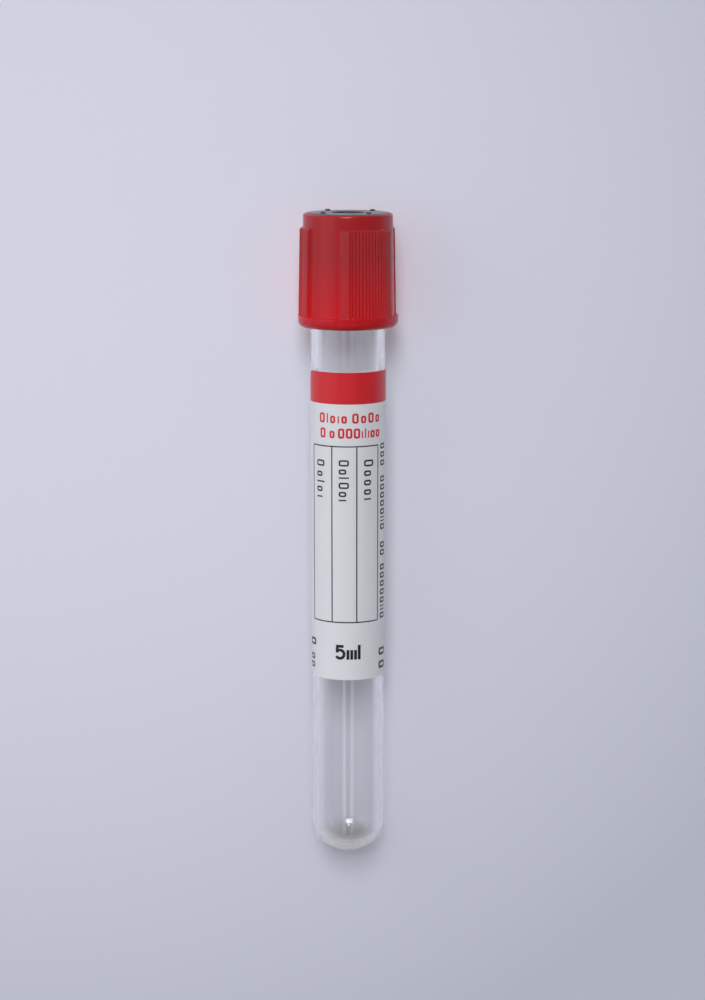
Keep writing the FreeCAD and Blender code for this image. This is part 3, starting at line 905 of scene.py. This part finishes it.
# The raised panel, with a sloping flank at either side.
ribbed = add_node(grip, MATH, (given["Rib Count"], given["Rib Pitch"]), operation="MULTIPLY")
ribbed_half = add_node(grip, MATH, (ribbed, 0.5), operation="MULTIPLY")
panel_half = add_node(grip, MATH, (ribbed_half, given["Band"]), operation="ADD")
plateau = add_node(grip, MATH, (panel_half, given["Flank"]), operation="SUBTRACT")
flank = add_node(grip, "ShaderNodeMapRange", {
    "Value": off_middle, "From Min": panel_half, "From Max": plateau,
})
raised = add_node(grip, MATH, (flank, given["Rise"]), operation="MULTIPLY")

# The ribs, whose crests lie a little lower than the smooth bands beside them.
half_pitch = add_node(grip, MATH, (given["Rib Pitch"], 0.5), operation="MULTIPLY")
off_crest = add_node(grip, MATH, (off_middle, half_pitch), operation="PINGPONG")
crest_half = add_node(grip, MATH, (half_pitch, given["Rib Crest"]), operation="MULTIPLY")
groove_floor = add_node(grip, MATH, (half_pitch, crest_half), operation="SUBTRACT")
groove = add_node(grip, "ShaderNodeMapRange", {
    "Value": off_crest, "From Min": crest_half, "From Max": groove_floor,
})
groove = add_node(grip, MATH, (groove, given["Rib Depth"]), operation="MULTIPLY")
lowered = add_node(grip, MATH, (groove, given["Crest Drop"]), operation="ADD")
in_ribs = add_node(grip, MATH, (off_middle, ribbed_half), operation="LESS_THAN")
lowered = add_node(grip, MATH, (lowered, in_ribs), operation="MULTIPLY")
raised = add_node(grip, MATH, (raised, lowered), operation="SUBTRACT")

# The limit at the panel's top: a short shoulder, and the chamfer below it.
ledge_rise = add_node(grip, MATH, (given["Rise"], given["Chamfer"]), operation="SUBTRACT")
ledge_height = add_node(grip, MATH, (given["Panel Top"], given["Shoulder"]), operation="ADD")
chamfer_foot = add_node(grip, MATH, (given["Panel Top"], given["Chamfer"]), operation="SUBTRACT")
shoulder = add_node(grip, "ShaderNodeMapRange", {
    "Value": z, "From Min": ledge_height, "From Max": given["Panel Top"], "To Max": ledge_rise,
})
chamfer = add_node(grip, "ShaderNodeMapRange", {
    "Value": z, "From Min": given["Panel Top"], "From Max": chamfer_foot, "To Max": given["Chamfer"],
})
limit = add_node(grip, MATH, (shoulder, chamfer), operation="ADD")
raised = add_node(grip, MATH, (raised, limit), operation="MINIMUM")
raised = add_node(grip, MATH, (raised, 0.0), operation="MAXIMUM")

# Only the points on the smooth outer wall move, straight outwards, and they carry the mould's texture.
below_rim = add_node(grip, MATH, (given["Wall Top"], z), operation="SUBTRACT")
wall = add_node(grip, MATH, (
    below_rim, given["Draft"], given["Wall Top Radius"],
), operation="MULTIPLY_ADD")
on_wall = add_node(grip, MATH, (radius, wall, ON_WALL), operation="COMPARE")
raised = add_node(grip, MATH, (raised, on_wall), operation="MULTIPLY")
outwards = add_node(grip, MATH, (raised, radius), operation="DIVIDE")
x_offset = add_node(grip, MATH, (x, outwards), operation="MULTIPLY")
y_offset = add_node(grip, MATH, (y, outwards), operation="MULTIPLY")
offset = add_node(grip, "ShaderNodeCombineXYZ", (x_offset, y_offset, 0.0))
rise_share = add_node(grip, MATH, (raised, given["Rise"]), operation="DIVIDE")
texture = add_node(grip, "ShaderNodeMapRange", {
    "Value": rise_share, "From Min": SPARK_START, "From Max": SPARK_FULL,
})
textured = add_node(grip, "GeometryNodeStoreNamedAttribute", {
    "Geometry": given["Geometry"], "Name": "spark_texture", "Value": texture,
}, data_type="FLOAT", domain="POINT")
pushed = add_node(grip, "GeometryNodeSetPosition", {"Geometry": textured, "Offset": offset})
end_group(grip, pushed, given, end)

# Injection-moulded polyethylene in masterbatch red. It is a little translucent, and that is painted in: a
# painted shade makes it darker where the dark stopper backs it than over the open skirt, and a painted glow
# reddens its own shadow. The panels carry the speckle of a spark-eroded mould, drawn coarser than the real
# 0.05 mm so that it shows; the wall between them is smooth and glossier.
red_plastic, tree, shader = surface("injection-moulded red polyethylene", IOR=1.51, Specular_IOR_Level=0.35)
place = add_node(tree, "ShaderNodeTexCoord")
height_along = add_node(tree, "ShaderNodeVectorMath", (
    place.outputs["Object"], along,
), operation="DOT_PRODUCT").outputs["Value"]
# Painted shade: the red turns darker along the axis where the stopper backs the wall, lighter over the open
# skirt.
painted_shade_at = (rest @ Vector((0, 0, PAINTED_SHADE_HEIGHT))).dot(along)
blur = PAINTED_SHADE_BLUR * MM / 2
painted_shade = add_node(tree, "ShaderNodeMapRange", {
    "Value": height_along, "From Min": painted_shade_at - blur, "From Max": painted_shade_at + blur,
}, interpolation_type="SMOOTHSTEP")
tone = add_node(tree, "ShaderNodeMix", {
    "Factor": painted_shade, 6: linear(CAP_RED), 7: linear(CAP_RED_PAINTED_SHADE),
}, data_type="RGBA")
# Painted glow: light bouncing off the cap finds it glowing in its own red, which reddens its shadow.
beside = add_node(tree, "ShaderNodeLightPath").outputs["Is Diffuse Ray"]
painted_glow_strength = add_node(tree, MATH, (beside, PAINTED_RED_GLOW), operation="MULTIPLY")
tree.links.new(tone.outputs[2], shader.inputs["Emission Color"])
tree.links.new(painted_glow_strength.outputs[0], shader.inputs["Emission Strength"])
texture = add_node(tree, "ShaderNodeAttribute", attribute_name="spark_texture").outputs["Fac"]
sparks = add_node(tree, "ShaderNodeTexNoise", {
    "Vector": place.outputs["Object"], "Scale": 1 / (SPARK_GRAIN * MM), "Detail": 3.0, "Roughness": 0.6,
})
peel = add_node(tree, "ShaderNodeTexNoise", {
    "Vector": place.outputs["Object"], "Scale": 1 / (ORANGE_PEEL * MM), "Detail": 1.0,
})
gloss = add_node(tree, "ShaderNodeMapRange", {"Value": texture, "To Min": 0.24, "To Max": 0.42})
soft_peel = add_node(tree, "ShaderNodeBump", {
    "Height": peel.outputs["Fac"], "Strength": 0.3, "Distance": PEEL_DEPTH * MM,
})
pits = add_node(tree, MATH, (sparks.outputs["Fac"], texture), operation="MULTIPLY")
pitted = add_node(tree, "ShaderNodeBump", {
    "Height": pits, "Strength": 0.8, "Distance": SPARK_DEPTH * MM, "Normal": soft_peel,
})
tree.links.new(tone.outputs[2], shader.inputs["Base Color"])
tree.links.new(gloss.outputs[0], shader.inputs["Roughness"])
tree.links.new(pitted.outputs["Normal"], shader.inputs["Normal"])

cap_mesh = grown(turned("cap", cap_profile, CAP_STEPS, PANEL_MIDDLE), grip, Material=red_plastic)
cap = finish_mesh("safety_cap", cap_mesh, sharp_angle=75)
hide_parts("cap")
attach(cap, "closure")


# ---- Surface, light and camera --------------------------------------------------------------------------
# An opal table top under a soft box beyond the cap and almost in line with the tube. Its colour carries a
# painted pool of light, and it has a faint painted glow that lifts its shadows. The room is dim overhead
# and pale at the left, and two narrow strips streak the clear wall.

TABLE_SIZE = 3.0                # metres, as are the other lengths of the table
TABLE_GAP = 0.00002
TABLE_PAINTED_LIGHT = "#E6E7F2"
TABLE_PAINTED_SHADE = "#C1C3CF"
TABLE_PAINT = 0.8
TABLE_PAINTED_GLOW = 0.21
PAINTED_POOL_CENTER = (-0.06, 0.051, 0.0)
PAINTED_POOL_RADIUS = 0.161
table_mesh = bpy.data.meshes.new("table_top")
half = TABLE_SIZE / 2
table_corners = ((-half, -half), (half, -half), (half, half), (-half, half))
table_mesh.from_pydata([(across, up, -TABLE_GAP) for across, up in table_corners], [], [(0, 1, 2, 3)])
table = bpy.data.objects.new("table_top", table_mesh)
bpy.context.scene.collection.objects.link(table)
opal_acrylic, tree, shader = surface(
    "opal acrylic sheet", Roughness=0.9, Specular_IOR_Level=0.2, Emission_Strength=TABLE_PAINTED_GLOW,
)
place = add_node(tree, "ShaderNodeTexCoord")
away = add_node(tree, "ShaderNodeVectorMath", (
    place.outputs["Object"], PAINTED_POOL_CENTER,
), operation="DISTANCE").outputs["Value"]
# Painted pool of light: the table's tone is lightest round a spot and shades off with the square of the
# distance.
share = add_node(tree, MATH, (away, PAINTED_POOL_RADIUS), operation="DIVIDE")
painted_pool_fade = add_node(tree, MATH, (share, share), operation="MULTIPLY")
tone = add_node(tree, "ShaderNodeMix", {
    "Factor": painted_pool_fade, 6: linear(TABLE_PAINTED_LIGHT), 7: linear(TABLE_PAINTED_SHADE),
}, data_type="RGBA")
paint = add_node(tree, "ShaderNodeMix", {
    "Factor": TABLE_PAINT, 6: linear("#000000"), 7: tone.outputs[2],
}, data_type="RGBA")
tree.links.new(paint.outputs[2], shader.inputs["Base Color"])
# Painted glow: the table emits faintly in the same tone, which lifts its shadows.
tree.links.new(tone.outputs[2], shader.inputs["Emission Color"])
table_mesh.materials.append(opal_acrylic)

ROOM_TINT = "#F2F3FA"
ROOM_LEVEL = 0.12
ROOM_LEFT = 0.3
ROOM_SIDES = 0.16
SOFT_PANELS = (                 # middle, half its size, soft edge, and level of each
    ((-0.05, 0.5), (0.12, 0.17), 0.07, 13.0),     # the key, a soft box beyond the cap
    ((-0.75, 0.3), (0.18, 0.4), 0.06, 0.62),      # a pale wall at the left, whose edge shows on the cap
    ((-0.22, -0.37), (0.05, 0.15), 0.06, 0.95),   # two narrow strips, which streak the clear wall
    ((0.22, -0.37), (0.05, 0.15), 0.06, 0.8),
)
world = bpy.data.worlds.new("pale_room")
world.use_nodes = True
tree = world.node_tree
towards = add_node(tree, "ShaderNodeTexCoord").outputs["Generated"]
sideways, lengthwise, upwards = add_node(tree, "ShaderNodeSeparateXYZ", (towards,)).outputs


def soft_panel(middle, half, edge, level):
    """Brightness of a soft-edged panel overhead; its place is given as parts of a direction."""
    for part, center, reach in zip((sideways, lengthwise), middle, half):
        off = add_node(tree, MATH, (part, center), operation="SUBTRACT")
        off = add_node(tree, MATH, (off,), operation="ABSOLUTE")
        level = add_node(tree, "ShaderNodeMapRange", {
            "Value": off, "From Min": reach, "From Max": reach + edge, "To Min": level, "To Max": 0.0,
        })
    overhead = add_node(tree, MATH, (upwards, 0.0), operation="GREATER_THAN")
    return add_node(tree, MATH, (level, overhead), operation="MULTIPLY")


# The room's own light is palest at the left and a little paler at both sides than overhead.
left = add_node(tree, MATH, (sideways, -ROOM_LEFT), operation="MULTIPLY")
left = add_node(tree, MATH, (left, 0.0), operation="MAXIMUM")
sides = add_node(tree, MATH, (sideways, ROOM_SIDES), operation="MULTIPLY")
sides = add_node(tree, MATH, (sideways, sides), operation="MULTIPLY")
light = add_node(tree, MATH, (left, sides), operation="ADD")
light = add_node(tree, MATH, (light, ROOM_LEVEL), operation="ADD")
for panel in SOFT_PANELS:
    light = add_node(tree, MATH, (light, soft_panel(*panel)), operation="ADD")
background = tree.nodes["Background"]
background.inputs["Color"].default_value = linear(ROOM_TINT)
tree.links.new(light.outputs[0], background.inputs["Strength"])
bpy.context.scene.world = world

LENS = 93.6
VIEW_HEIGHT = 61.42             # where on the tube the camera looks
VIEW_SHIFT = 0.00075            # metres to the side, and metres away
VIEW_DISTANCE = 0.4406
VIEW_TILT = 8.566               # degrees from straight down, towards the cap
aim = rest @ Vector((0, 0, VIEW_HEIGHT))
aim.x = VIEW_SHIFT
tilt = math.radians(VIEW_TILT)
camera_data = bpy.data.cameras.new("camera")
camera_data.lens = LENS
camera_data.sensor_width = 36.0
camera_data.clip_start = 0.01
camera = bpy.data.objects.new("camera", camera_data)
camera.location = aim + VIEW_DISTANCE * Vector((0, math.sin(tilt), math.cos(tilt)))
camera.rotation_euler = (-tilt, 0, 0)
bpy.context.scene.collection.objects.link(camera)
bpy.context.scene.camera = camera
bpy.context.scene.view_settings.view_transform = "Standard"
